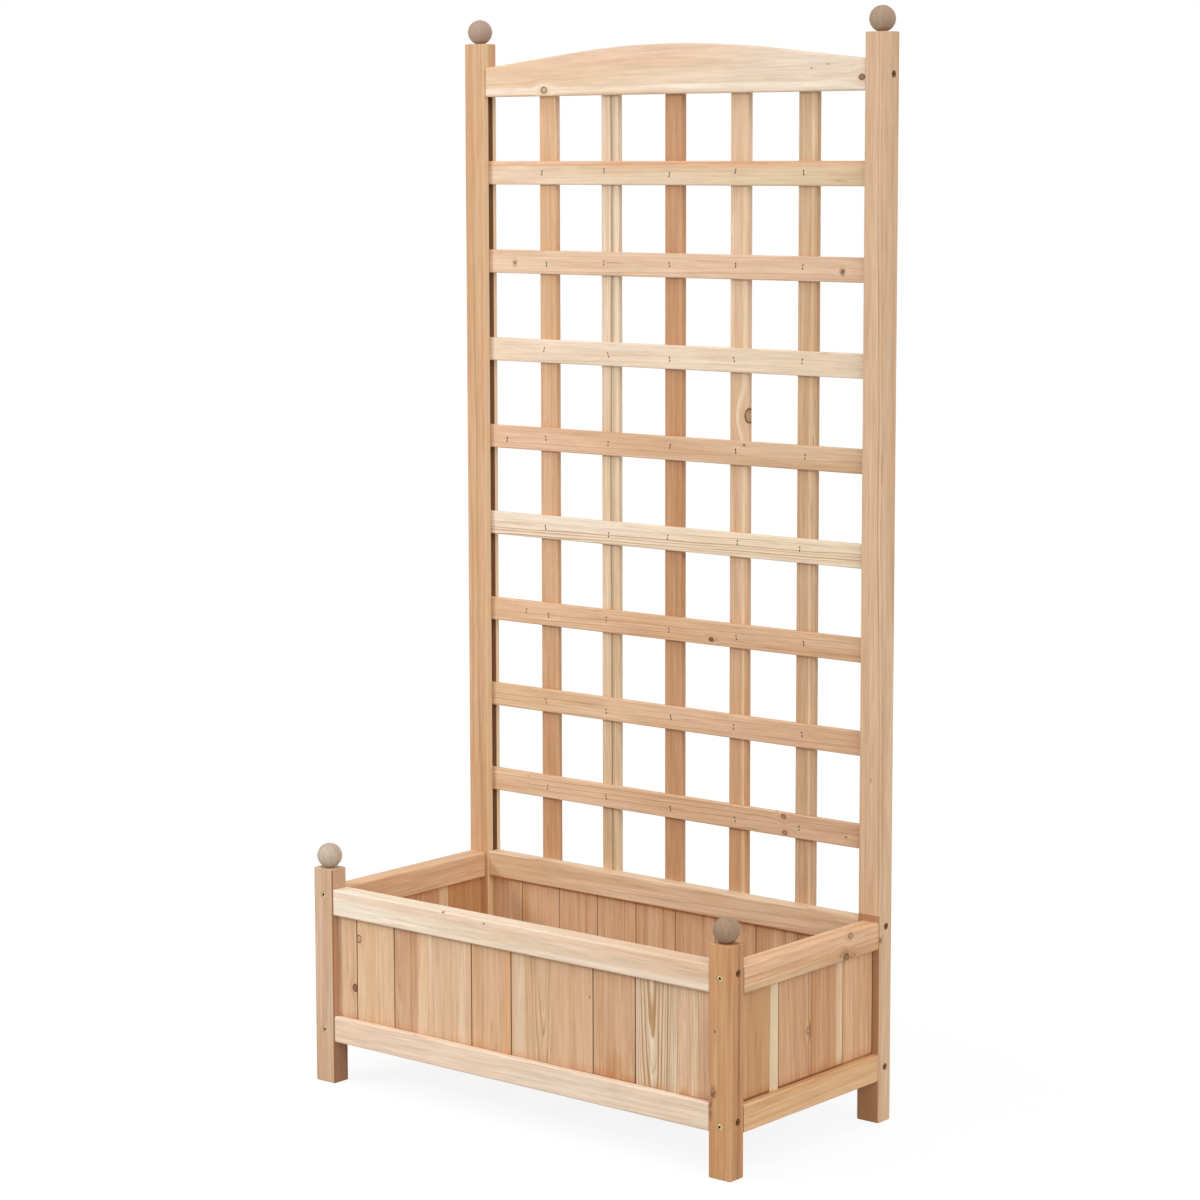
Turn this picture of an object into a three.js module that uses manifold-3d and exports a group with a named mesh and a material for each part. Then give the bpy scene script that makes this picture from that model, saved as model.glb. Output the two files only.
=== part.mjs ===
// A planter box on four posts with a trellis behind it, in softwood. The walls are upright
// tongue-and-groove boards held in grooved rails and posts, and the trellis is a lattice of
// thin slats under an arched rail. Each post carries a turned ball.
//
// Millimetres. X runs from left to right as seen from the front, Y from front to back, Z up.
// The origin is on the ground, under the middle of the four posts.

import * as THREE from "three";
import { mergeVertices } from "three/addons/utils/BufferGeometryUtils.js";
import Module from "manifold-3d";

// ---------------------------------------------------------------------------------------
// Driving dimensions
// ---------------------------------------------------------------------------------------

// Overall, measured over the posts
const WIDTH = 620;
const DEPTH = 300;

// Posts
const POST_WIDTH = 30; // along X
const POST_DEPTH = 24; // along Y
const FRONT_POST_HEIGHT = 258;
const REAR_POST_HEIGHT = 1225;
const POST_EASE = 2; // radius of the long edges
const END_EASE = 0.8; // chamfer round the ends of posts and slats

// Grooves that house the boards and the ends of the cross slats
const GROOVE_WIDTH = 8;
const GROOVE_DEPTH = 7;
const GROOVE_CHEEK = 9; // wood between a post's face and its groove
const HOUSING_CLEARANCE = 0.3; // left round a piece in its groove
const HEAD_GAP = 1; // left over the boards' top ends, so that they can swell

// Rails of the box
const RAIL_HEIGHT = 31;
const RAIL_THICKNESS = 24;
const RAIL_SETBACK = 1; // behind the faces of the posts
const RAIL_EASE = 2;
const LEG_LENGTH = 50.5; // from the ground to the bottom rails
const POST_STANDS_ABOVE = 23.5; // front posts above the top rails
const SIDE_RAIL_DROP = 2; // side rails below the front and back ones

// Boards of the walls
const BOARD_PITCH = 60.2; // face width of a whole board
const BOARD_BEVEL = 1; // V joint between two boards
const JOINT_GAP = 0.3;
const TONGUE_LENGTH = 4;
const TONGUE_THICKNESS = 2.6;
const TONGUE_CLEARANCE = 0.3;
const LONG_WALL_FIRST_BOARD = 30.2; // seen width of the board that is cut to fit at the left
const SIDE_WALL_FIRST_BOARD = 58.8;
const FILLER_WIDTH = 15.7; // narrow strip that makes up each side wall

// Floor of the box
const FLOOR_BOARD_COUNT = 5;
const FLOOR_BOARD_THICKNESS = 8;
const FLOOR_DRAIN_GAP = 10;
const FLOOR_CLEARANCE = 0.5; // to the rails round it
const CLEAT_WIDTH = 14;
const CLEAT_HEIGHT = 12;
const CLEAT_END_GAP = 10;
const FLOOR_EASE = 1.5;

// Trellis
const SLAT_THICKNESS = 7;
const SLAT_EASE = 1.5;
const CROSS_SLAT_COUNT = 8;
const CROSS_SLAT_HEIGHT = 28;
const CROSS_SLAT_END_GAP = 76.8; // clear height under the lowest one and over the highest one
const UPRIGHT_SLAT_COUNT = 5;
const UPRIGHT_SLAT_WIDTH = 27;
const UPRIGHT_SLAT_PITCH = 96;
const FOOT_REBATE_HEIGHT = 15; // rebate in the back rail where the upright slats stand
const HEAD_REBATE_HEIGHT = 20; // rebate in the arched rail over their tops
const HEAD_CLEARANCE = 0.4;

// Arched rail: level below, straight shoulders and a round crown above
const ARCH_THICKNESS = 20;
const ARCH_SETBACK = 3; // behind the front faces of the rear posts
const ARCH_BELOW_TOP = 63.5; // its underside below the tops of the rear posts
const ARCH_END_HEIGHT = 34.5;
const ARCH_SLOPE_DEGREES = 6.3; // fall of the shoulders
const ARCH_CROWN_LENGTH = 286;
const ARCH_EASE = 2;

// Turned balls
const BALL_DIAMETER = 29.5;
const BALL_SEAT_RADIUS = 4.5; // flat where the ball stands on its post
const PIN_DIAMETER = 6;
const PIN_LENGTH = 14;
const PIN_CHAMFER = 1;
const PIN_CLEARANCE = 0.3;

// Countersunk holes for the wood screws that go through the posts into the rails
const SCREW_HEAD_DIAMETER = 8;
const SCREW_HOLE_DIAMETER = 4.2;
const SCREW_SINK = 0.6; // straight wall above the countersink
const SCREW_OFFSET = 5; // pair of screws off the rail's middle, towards the post's end
const SCREW_STAGGER = 5.5; // height between two screws that cross in a post

// ---------------------------------------------------------------------------------------
// Places that follow from them
// ---------------------------------------------------------------------------------------

const LONG_OPENING = WIDTH - 2 * POST_WIDTH; // between the posts, front and back
const SIDE_OPENING = DEPTH - 2 * POST_DEPTH; // between the posts, each side
const GROOVE_CENTRE = GROOVE_CHEEK + GROOVE_WIDTH / 2; // behind the face of a post
const FRONT_FACE = -DEPTH / 2; // of the front posts
const REAR_POST_FACE = DEPTH / 2 - POST_DEPTH; // front faces of the rear posts
const BACK_RAIL_THICKNESS = POST_DEPTH - RAIL_SETBACK; // flush with the posts behind

const BOTTOM_RAIL_MIDDLE = LEG_LENGTH + RAIL_HEIGHT / 2;
const TOP_RAIL_TOP = FRONT_POST_HEIGHT - POST_STANDS_ABOVE;
const TOP_RAIL_MIDDLE = TOP_RAIL_TOP - RAIL_HEIGHT / 2;
const ARCH_UNDERSIDE = REAR_POST_HEIGHT - ARCH_BELOW_TOP;

const BOARD_THICKNESS = GROOVE_WIDTH - 2 * HOUSING_CLEARANCE;
const HOUSED_LENGTH = GROOVE_DEPTH - HOUSING_CLEARANCE; // of a piece's end in its groove
const LATTICE_PLANE = REAR_POST_FACE + GROOVE_CENTRE + GROOVE_WIDTH / 2; // where slats cross

// ---------------------------------------------------------------------------------------
// Wood tones
// ---------------------------------------------------------------------------------------

const CREAM = 0xe9d3bb;
const PALE = 0xe0c1a0;
const HONEY = 0xd7b28c;
const TAN = 0xcda27c;
const RUSSET = 0xbc8d66;
const UMBER = 0x9c8270; // turned wood, grey-brown

const wood = (colour) =>
  new THREE.MeshStandardMaterial({ color: colour, roughness: 0.75, metalness: 0 });

function piece(name, geometry, colour) {
  const mesh = new THREE.Mesh(geometry, wood(colour));
  mesh.name = name;
  return mesh;
}

// ---------------------------------------------------------------------------------------
// Solids
// ---------------------------------------------------------------------------------------

const wasm = await Module();
wasm.setup();

const X = new THREE.Vector3(1, 0, 0);
const Y = new THREE.Vector3(0, 1, 0);
const Z = new THREE.Vector3(0, 0, 1);

// Turns a section drawn in XY and extruded along Z, so that it lies along X with its
// first direction along Y and its second one up.
const ALONG_X = new THREE.Matrix4().makeBasis(Y, Z, X);

// The same for one that faces the front: first direction along X, second one up.
const FACING_Y = new THREE.Matrix4().makeBasis(X, Z, Y.clone().negate());

function toSolid(geometry) {
  const bare = geometry.clone();
  bare.deleteAttribute("normal");
  bare.deleteAttribute("uv");
  const merged = mergeVertices(bare);
  return new wasm.Manifold(
    new wasm.Mesh({
      numProp: 3,
      vertProperties: merged.attributes.position.array,
      triVerts: new Uint32Array(merged.index.array),
    }),
  );
}

function cut(blank, tools) {
  const solid = tools.reduce((rest, tool) => rest.subtract(toSolid(tool)), toSolid(blank));
  const mesh = solid.getMesh();
  const geometry = new THREE.BufferGeometry()
    .setAttribute("position", new THREE.BufferAttribute(mesh.vertProperties, 3))
    .setIndex(new THREE.BufferAttribute(mesh.triVerts, 1))
    .toNonIndexed();
  geometry.computeVertexNormals();
  return geometry;
}

function easedRectangle(width, height, radius) {
  const x = width / 2 - radius;
  const y = height / 2 - radius;
  return new THREE.Shape()
    .absarc(x, y, radius, 0, Math.PI / 2)
    .absarc(-x, y, radius, Math.PI / 2, Math.PI)
    .absarc(-x, -y, radius, Math.PI, 1.5 * Math.PI)
    .absarc(x, -y, radius, 1.5 * Math.PI, 2 * Math.PI);
}

// A bar along Z, from 0 to its length, with eased long edges and chamfered ends.
function bar(width, height, length, ease) {
  return new THREE.ExtrudeGeometry(easedRectangle(width, height, ease), {
    depth: length - 2 * END_EASE,
    curveSegments: 2,
    bevelThickness: END_EASE,
    bevelSize: END_EASE,
    bevelOffset: -END_EASE,
    bevelSegments: 1,
  }).translate(0, 0, END_EASE);
}

// The same bar along X, with its middle on the origin.
function crossBar(depth, height, length, ease) {
  return bar(depth, height, length, ease)
    .translate(0, 0, -length / 2)
    .applyMatrix4(ALONG_X);
}

// ---------------------------------------------------------------------------------------
// Posts and their balls
// ---------------------------------------------------------------------------------------

// A groove with round ends, as a router leaves it. The tool lies half outside the face.
function grooveTool(from, to) {
  const radius = GROOVE_WIDTH / 2;
  const slot = new THREE.Shape()
    .absarc(0, to - radius, radius, 0, Math.PI)
    .absarc(0, from + radius, radius, Math.PI, 2 * Math.PI);
  const settings = { depth: 2 * GROOVE_DEPTH, curveSegments: 4, bevelEnabled: false };
  return new THREE.ExtrudeGeometry(slot, settings).translate(0, 0, -GROOVE_DEPTH);
}

// A screw hole with its countersink in the face at the origin, bored against `outward`.
function screwTool(outward, depth) {
  const head = SCREW_HEAD_DIAMETER / 2;
  const hole = SCREW_HOLE_DIAMETER / 2;
  const profile = [
    new THREE.Vector2(0, -depth - 1),
    new THREE.Vector2(hole, -depth - 1),
    new THREE.Vector2(hole, hole - head - SCREW_SINK),
    new THREE.Vector2(head, -SCREW_SINK),
    new THREE.Vector2(head, 1),
    new THREE.Vector2(0, 1),
  ];
  const turn = new THREE.Quaternion().setFromUnitVectors(Y, outward);
  return new THREE.LatheGeometry(profile, 16).applyQuaternion(turn);
}

function pinHoleTool() {
  const radius = PIN_DIAMETER / 2 + PIN_CLEARANCE;
  const depth = PIN_LENGTH + 1;
  return new THREE.CylinderGeometry(radius, radius, 2 * depth, 16).rotateX(Math.PI / 2);
}

// How far up the grooves of a wall run: past the ends of its boards, out of sight.
function wallGroove(drop) {
  const past = GROOVE_DEPTH + GROOVE_WIDTH / 2;
  return {
    from: BOTTOM_RAIL_MIDDLE + RAIL_HEIGHT / 2 - drop - past,
    to: TOP_RAIL_MIDDLE - RAIL_HEIGHT / 2 - drop + past,
  };
}

// `side` is -1 at the left and 1 at the right, `end` is -1 in front and 1 behind.
function post(side, end) {
  const rear = end > 0;
  const height = rear ? REAR_POST_HEIGHT : FRONT_POST_HEIGHT;
  const longWall = wallGroove(0);
  const sideWall = wallGroove(SIDE_RAIL_DROP);
  const longWallTop = rear ? ARCH_UNDERSIDE + GROOVE_WIDTH : longWall.to;

  const longGroove = grooveTool(longWall.from, longWallTop)
    .applyMatrix4(ALONG_X)
    .translate((-side * POST_WIDTH) / 2, GROOVE_CENTRE - POST_DEPTH / 2, 0);
  const sideGroove = grooveTool(sideWall.from, sideWall.to)
    .applyMatrix4(FACING_Y)
    .translate(side * (POST_WIDTH / 2 - GROOVE_CENTRE), (-end * POST_DEPTH) / 2, 0);
  const tools = [longGroove, sideGroove, pinHoleTool().translate(0, 0, height)];

  // The two screws of a corner cross in the post, so one passes above the other.
  const railMiddles = [BOTTOM_RAIL_MIDDLE - SCREW_OFFSET, TOP_RAIL_MIDDLE + SCREW_OFFSET];
  const railThickness = rear ? BACK_RAIL_THICKNESS : RAIL_THICKNESS;
  const intoLongRail = RAIL_SETBACK + railThickness / 2 - POST_DEPTH / 2;
  const raised = (side * SCREW_STAGGER) / 2;
  for (const z of railMiddles) {
    const throughWidth = screwTool(X.clone().multiplyScalar(side), POST_WIDTH);
    const throughDepth = screwTool(Y.clone().multiplyScalar(end), POST_DEPTH);
    tools.push(throughWidth.translate((side * POST_WIDTH) / 2, intoLongRail, z + raised));
    tools.push(throughDepth.translate(0, (end * POST_DEPTH) / 2, z - raised));
  }
  if (rear) {
    const intoArch = ARCH_SETBACK + ARCH_THICKNESS / 2 - POST_DEPTH / 2;
    const z = ARCH_UNDERSIDE + ARCH_END_HEIGHT / 2;
    const throughWidth = screwTool(X.clone().multiplyScalar(side), POST_WIDTH);
    tools.push(throughWidth.translate((side * POST_WIDTH) / 2, intoArch, z));
  }
  return cut(bar(POST_WIDTH, POST_DEPTH, height, POST_EASE), tools);
}

// A ball with a flat seat and a pin below it, turned from one piece.
function ball() {
  const radius = BALL_DIAMETER / 2;
  const seatAngle = Math.asin(BALL_SEAT_RADIUS / radius);
  const centre = radius * Math.cos(seatAngle);
  const round = new THREE.ArcCurve(0, centre, radius, seatAngle - Math.PI / 2, Math.PI / 2);
  const pin = PIN_DIAMETER / 2;
  const profile = [
    new THREE.Vector2(0, -PIN_LENGTH),
    new THREE.Vector2(pin - PIN_CHAMFER, -PIN_LENGTH),
    new THREE.Vector2(pin, PIN_CHAMFER - PIN_LENGTH),
    new THREE.Vector2(pin, 0),
    ...round.getPoints(14).slice(0, -1),
    new THREE.Vector2(0, centre + radius),
  ];
  return new THREE.LatheGeometry(profile, 24).rotateX(Math.PI / 2);
}

function cornerPosts() {
  const group = new THREE.Group();
  for (const [end, endName, tone] of [[-1, "front", TAN], [1, "rear", HONEY]]) {
    for (const [side, sideName] of [[-1, "left"], [1, "right"]]) {
      const height = end > 0 ? REAR_POST_HEIGHT : FRONT_POST_HEIGHT;
      const corner = new THREE.Group();
      corner.position.set(
        (side * (WIDTH - POST_WIDTH)) / 2,
        (end * (DEPTH - POST_DEPTH)) / 2,
        0,
      );
      const finial = piece(`finial_${endName}_${sideName}`, ball(), UMBER);
      finial.position.z = height;
      corner.add(piece(`post_${endName}_${sideName}`, post(side, end), tone), finial);
      group.add(corner);
    }
  }
  return group;
}

// ---------------------------------------------------------------------------------------
// Walls: a grooved rail below, a grooved rail above and upright boards between them.
// A wall is made along X, with Y = 0 at the outer face of its posts.
// ---------------------------------------------------------------------------------------

// A rail with the groove for the boards in its top edge (1) or in its underside (-1).
function rail(length, thickness, groovedEdge, moreTools = []) {
  const middle = RAIL_SETBACK + thickness / 2;
  const groove = new THREE.BoxGeometry(length + 2, GROOVE_WIDTH, 2 * GROOVE_DEPTH);
  groove.translate(0, GROOVE_CENTRE - middle, (groovedEdge * RAIL_HEIGHT) / 2);
  return cut(crossBar(thickness, RAIL_HEIGHT, length, RAIL_EASE), [groove, ...moreTools]);
}

// Where board meets board, measured from the left end of the opening.
function boardJoints(opening, first, filler) {
  const joints = filler ? [first, first + filler] : [first];
  while (joints.at(-1) + BOARD_PITCH < opening) joints.push(joints.at(-1) + BOARD_PITCH);
  return joints;
}

// Section of one board from edge `a` to edge `b`, with its outer face down the page. An
// edge that meets another board is bevelled and has the groove (left) or tongue (right).
function boardSection(a, b, groovedLeft, tonguedRight) {
  const half = BOARD_THICKNESS / 2;
  const tongue = TONGUE_THICKNESS / 2;
  const slot = tongue + TONGUE_CLEARANCE;
  const slotDepth = TONGUE_LENGTH + TONGUE_CLEARANCE;
  const shape = new THREE.Shape().moveTo(a + BOARD_BEVEL, -half);
  shape.lineTo(b - BOARD_BEVEL, -half).lineTo(b, BOARD_BEVEL - half);
  if (tonguedRight) {
    shape.lineTo(b, -tongue).lineTo(b + TONGUE_LENGTH, -tongue);
    shape.lineTo(b + TONGUE_LENGTH, tongue).lineTo(b, tongue);
  }
  shape.lineTo(b, half - BOARD_BEVEL).lineTo(b - BOARD_BEVEL, half);
  shape.lineTo(a + BOARD_BEVEL, half).lineTo(a, half - BOARD_BEVEL);
  if (groovedLeft) {
    shape.lineTo(a, slot).lineTo(a + slotDepth, slot);
    shape.lineTo(a + slotDepth, -slot).lineTo(a, -slot);
  }
  return shape.lineTo(a, BOARD_BEVEL - half);
}

// Section of a whole wall of boards glued edge to edge: a V at each joint, both faces.
function panelSection(left, right, joints) {
  const half = BOARD_THICKNESS / 2;
  const shape = new THREE.Shape().moveTo(left, -half);
  for (const x of joints) {
    shape.lineTo(x - BOARD_BEVEL, -half).lineTo(x, BOARD_BEVEL - half);
    shape.lineTo(x + BOARD_BEVEL, -half);
  }
  shape.lineTo(right, -half).lineTo(right, half);
  for (const x of joints.toReversed()) {
    shape.lineTo(x + BOARD_BEVEL, half).lineTo(x, half - BOARD_BEVEL);
    shape.lineTo(x - BOARD_BEVEL, half);
  }
  return shape.lineTo(left, half);
}

// Extruded from the groove in the bottom rail to the groove in the top rail.
function boardHeight() {
  return TOP_RAIL_MIDDLE - BOTTOM_RAIL_MIDDLE - RAIL_HEIGHT + HOUSED_LENGTH + GROOVE_DEPTH - HEAD_GAP;
}

function looseBoards(name, opening, joints, tones) {
  const left = -opening / 2;
  const edges = [-HOUSED_LENGTH, ...joints, opening + HOUSED_LENGTH];
  const settings = { depth: boardHeight(), bevelEnabled: false };
  return edges.slice(1).map((edge, i) => {
    const isFirst = i === 0;
    const isLast = i === joints.length;
    const a = left + edges[i] + (isFirst ? 0 : JOINT_GAP / 2);
    const b = left + edge - (isLast ? 0 : JOINT_GAP / 2);
    const section = boardSection(a, b, !isFirst, !isLast);
    const solid = new THREE.ExtrudeGeometry(section, settings);
    return piece(`${name}_board_${i + 1}`, solid, tones[i % tones.length]);
  });
}

function gluedPanel(name, opening, joints) {
  const half = opening / 2;
  const places = joints.map((x) => x - half);
  const section = panelSection(-half - HOUSED_LENGTH, half + HOUSED_LENGTH, places);
  const settings = { depth: boardHeight(), bevelEnabled: false };
  return piece(name, new THREE.ExtrudeGeometry(section, settings), HONEY);
}

function wall({ name, opening, thickness = RAIL_THICKNESS, boards, topTools }) {
  const group = new THREE.Group();
  const y = RAIL_SETBACK + thickness / 2;
  const bottomRail = piece(`${name}_bottom_rail`, rail(opening, thickness, 1), PALE);
  const topRail = piece(`${name}_top_rail`, rail(opening, thickness, -1, topTools), PALE);
  bottomRail.position.set(0, y, BOTTOM_RAIL_MIDDLE);
  topRail.position.set(0, y, TOP_RAIL_MIDDLE);
  for (const board of boards) {
    board.position.set(0, GROOVE_CENTRE, BOTTOM_RAIL_MIDDLE + RAIL_HEIGHT / 2 - HOUSED_LENGTH);
  }
  return group.add(bottomRail, topRail, ...boards);
}

function frontWall() {
  const joints = boardJoints(LONG_OPENING, LONG_WALL_FIRST_BOARD);
  const tones = [HONEY, PALE, TAN, PALE, HONEY];
  const boards = looseBoards("front", LONG_OPENING, joints, tones);
  const group = wall({ name: "front", opening: LONG_OPENING, boards });
  group.position.y = FRONT_FACE;
  return group;
}

// The back wall stands flush behind, and its top rail is rebated for the upright slats.
function backWall() {
  const thickness = BACK_RAIL_THICKNESS;
  const deep = REAR_POST_FACE + POST_DEPTH - LATTICE_PLANE;
  const rebate = new THREE.BoxGeometry(LONG_OPENING + 2, 2 * deep, 2 * FOOT_REBATE_HEIGHT);
  rebate.translate(0, thickness / 2, RAIL_HEIGHT / 2);
  const joints = boardJoints(LONG_OPENING, LONG_WALL_FIRST_BOARD);
  const boards = [gluedPanel("back_panel", LONG_OPENING, joints)];
  const topTools = [rebate];
  const group = wall({ name: "back", opening: LONG_OPENING, thickness, boards, topTools });
  group.position.y = REAR_POST_FACE;
  return group;
}

// `side` is -1 at the left and 1 at the right. Each is the other one turned half round.
function sideWall(name, side) {
  const joints = boardJoints(SIDE_OPENING, SIDE_WALL_FIRST_BOARD, FILLER_WIDTH);
  const tones = [RUSSET, CREAM, RUSSET, TAN, TAN];
  const boards = looseBoards(name, SIDE_OPENING, joints, tones);
  const group = wall({ name, opening: SIDE_OPENING, boards });
  group.rotation.z = (side * Math.PI) / 2;
  group.position.set((side * WIDTH) / 2, 0, -SIDE_RAIL_DROP);
  return group;
}

// ---------------------------------------------------------------------------------------
// Floor: boards from front to back, lying on two cleats with gaps to drain
// ---------------------------------------------------------------------------------------

function floor() {
  const group = new THREE.Group();
  const frontRailInside = FRONT_FACE + RAIL_SETBACK + RAIL_THICKNESS;
  const backRailInside = REAR_POST_FACE + RAIL_SETBACK;
  const cleatTop = LEG_LENGTH + CLEAT_HEIGHT;

  const cleatLength = LONG_OPENING - 2 * CLEAT_END_GAP;
  const places = [["front", frontRailInside, 1], ["back", backRailInside, -1]];
  for (const [name, face, inward] of places) {
    const shape = crossBar(CLEAT_WIDTH, CLEAT_HEIGHT, cleatLength, FLOOR_EASE);
    const cleat = piece(`floor_cleat_${name}`, shape, TAN);
    cleat.position.set(0, face + (inward * CLEAT_WIDTH) / 2, cleatTop - CLEAT_HEIGHT / 2);
    group.add(cleat);
  }

  const room = WIDTH - 2 * (RAIL_SETBACK + RAIL_THICKNESS + FLOOR_CLEARANCE);
  const gaps = (FLOOR_BOARD_COUNT - 1) * FLOOR_DRAIN_GAP;
  const width = (room - gaps) / FLOOR_BOARD_COUNT;
  const front = Math.max(frontRailInside, FRONT_FACE + POST_DEPTH) + FLOOR_CLEARANCE;
  const back = Math.min(backRailInside, REAR_POST_FACE) - FLOOR_CLEARANCE;
  for (let i = 0; i < FLOOR_BOARD_COUNT; i += 1) {
    const shape = bar(width, FLOOR_BOARD_THICKNESS, back - front, FLOOR_EASE);
    const board = piece(`floor_board_${i + 1}`, shape.applyMatrix4(FACING_Y), HONEY);
    board.position.set(
      (width - room) / 2 + i * (width + FLOOR_DRAIN_GAP),
      back,
      cleatTop + FLOOR_BOARD_THICKNESS / 2,
    );
    group.add(board);
  }
  return group;
}

// ---------------------------------------------------------------------------------------
// Trellis
// ---------------------------------------------------------------------------------------

// Cross slats slide into the grooves of the rear posts and bear on the rear cheeks.
function crossSlats() {
  const length = LONG_OPENING + 2 * HOUSED_LENGTH;
  const lowest = TOP_RAIL_TOP + CROSS_SLAT_END_GAP + CROSS_SLAT_HEIGHT / 2;
  const highest = ARCH_UNDERSIDE - CROSS_SLAT_END_GAP - CROSS_SLAT_HEIGHT / 2;
  const tones = [TAN, HONEY, TAN, PALE, HONEY, CREAM, PALE, PALE];
  return Array.from({ length: CROSS_SLAT_COUNT }, (_, i) => {
    const shape = crossBar(SLAT_THICKNESS, CROSS_SLAT_HEIGHT, length, SLAT_EASE);
    const slat = piece(`cross_slat_${i + 1}`, shape, tones[i % tones.length]);
    const z = THREE.MathUtils.lerp(lowest, highest, i / (CROSS_SLAT_COUNT - 1));
    slat.position.set(0, LATTICE_PLANE - SLAT_THICKNESS / 2, z);
    return slat;
  });
}

// Upright slats are stapled on behind, from the back rail to the arched rail.
function uprightSlats() {
  const foot = TOP_RAIL_TOP - FOOT_REBATE_HEIGHT;
  const head = ARCH_UNDERSIDE + HEAD_REBATE_HEIGHT - HEAD_CLEARANCE;
  const tones = [HONEY, PALE, RUSSET, PALE, TAN];
  return Array.from({ length: UPRIGHT_SLAT_COUNT }, (_, i) => {
    const shape = bar(UPRIGHT_SLAT_WIDTH, SLAT_THICKNESS, head - foot, SLAT_EASE);
    const slat = piece(`upright_slat_${i + 1}`, shape, tones[i % tones.length]);
    const x = (i - (UPRIGHT_SLAT_COUNT - 1) / 2) * UPRIGHT_SLAT_PITCH;
    slat.position.set(x, LATTICE_PLANE + SLAT_THICKNESS / 2, foot);
    return slat;
  });
}

// The arched rail seen from the front: level underside, sloping shoulders, round crown.
function archOutline() {
  const half = LONG_OPENING / 2;
  const slope = THREE.MathUtils.degToRad(ARCH_SLOPE_DEGREES);
  const crownRadius = ARCH_CROWN_LENGTH / 2 / Math.sin(slope);
  const crownEnd = ARCH_END_HEIGHT + (half - ARCH_CROWN_LENGTH / 2) * Math.tan(slope);
  const centre = crownEnd - crownRadius * Math.cos(slope);
  return new THREE.Shape()
    .moveTo(-half, 0)
    .lineTo(half, 0)
    .lineTo(half, ARCH_END_HEIGHT)
    .absarc(0, centre, crownRadius, Math.PI / 2 - slope, Math.PI / 2 + slope)
    .lineTo(-half, ARCH_END_HEIGHT);
}

function archedRail() {
  const blank = new THREE.ExtrudeGeometry(archOutline(), {
    depth: ARCH_THICKNESS - 2 * ARCH_EASE,
    curveSegments: 12,
    bevelThickness: ARCH_EASE,
    bevelSize: ARCH_EASE,
    bevelOffset: -ARCH_EASE,
    bevelSegments: 3,
  });
  blank.translate(0, 0, ARCH_EASE - ARCH_THICKNESS).applyMatrix4(FACING_Y);
  const deep = REAR_POST_FACE + ARCH_SETBACK + ARCH_THICKNESS - LATTICE_PLANE;
  const rebate = new THREE.BoxGeometry(LONG_OPENING + 2, 2 * deep, 2 * HEAD_REBATE_HEIGHT);
  rebate.translate(0, ARCH_THICKNESS, 0);
  const arch = piece("arch_rail", cut(blank, [rebate]), CREAM);
  arch.position.set(0, REAR_POST_FACE + ARCH_SETBACK, ARCH_UNDERSIDE);
  return arch;
}

// ---------------------------------------------------------------------------------------
// The planter
// ---------------------------------------------------------------------------------------

const planter = new THREE.Group();
planter.add(cornerPosts(), frontWall(), backWall(), sideWall("left", -1), sideWall("right", 1));
planter.add(floor(), archedRail(), ...crossSlats(), ...uprightSlats());

export default planter;
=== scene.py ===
# %% [markdown]
# # A wooden planter with a trellis
#
# The real object is a small box garden in softwood: four posts with turned balls on top, four
# walls of upright boards held in grooved rails, and behind them a tall trellis of thin slats
# under an arched rail. Its shapes come ready from the CAD model, one object for each piece of
# wood. What is left for Blender is what makes it wood: grain, knots, stains, the screws and the
# staples, and the light of a photo studio. We start by loading the model as a fixed frame.

# %% Load the CAD model
import math
import random

import bpy
from mathutils import Euler, Matrix, Vector


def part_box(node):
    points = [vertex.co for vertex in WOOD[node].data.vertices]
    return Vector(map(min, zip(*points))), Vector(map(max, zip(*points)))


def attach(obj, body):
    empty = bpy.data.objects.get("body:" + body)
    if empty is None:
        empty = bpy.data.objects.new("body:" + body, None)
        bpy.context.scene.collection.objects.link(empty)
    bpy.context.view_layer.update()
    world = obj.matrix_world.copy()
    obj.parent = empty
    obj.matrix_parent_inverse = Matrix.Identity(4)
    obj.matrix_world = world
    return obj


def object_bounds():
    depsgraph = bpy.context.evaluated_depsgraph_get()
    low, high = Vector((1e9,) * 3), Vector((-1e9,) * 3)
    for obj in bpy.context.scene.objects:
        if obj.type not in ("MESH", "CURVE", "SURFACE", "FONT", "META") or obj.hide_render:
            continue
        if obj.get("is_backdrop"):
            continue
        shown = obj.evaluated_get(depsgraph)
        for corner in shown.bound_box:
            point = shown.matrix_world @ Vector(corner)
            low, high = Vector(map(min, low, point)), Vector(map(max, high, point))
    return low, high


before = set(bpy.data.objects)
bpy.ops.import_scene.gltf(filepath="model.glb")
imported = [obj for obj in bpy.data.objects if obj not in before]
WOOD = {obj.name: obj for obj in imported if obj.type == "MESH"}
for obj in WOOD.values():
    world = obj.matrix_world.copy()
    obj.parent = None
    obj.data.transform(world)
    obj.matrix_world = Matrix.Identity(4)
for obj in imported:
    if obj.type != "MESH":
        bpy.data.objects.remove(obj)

MM = 0.001
CAD_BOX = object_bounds()
print("pieces of wood:", len(WOOD), "box:", [tuple(round(v, 4) for v in c) for c in CAD_BOX])

# %% [markdown]
# ## The camera
#
# A camera can be placed by eye, or solved from points whose real positions are known. Here the
# corners of the posts were used: yaw, pitch and roll say where it looks, and the lens says how
# narrow its view is. The tall trellis asks for a small lens shift, as an architect's camera has.

# %% Camera
CAMERA_PLACE = Vector((2345.1, -2816.0, 1089.5)) * MM
CAMERA_YAW = 0.6931
CAMERA_PITCH = -0.1252
CAMERA_ROLL = -0.0022
CAMERA_LENS = 97.03
CAMERA_SHIFT = -0.03
SENSOR_WIDTH = 36
FARTHEST_SEEN = 60


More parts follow.
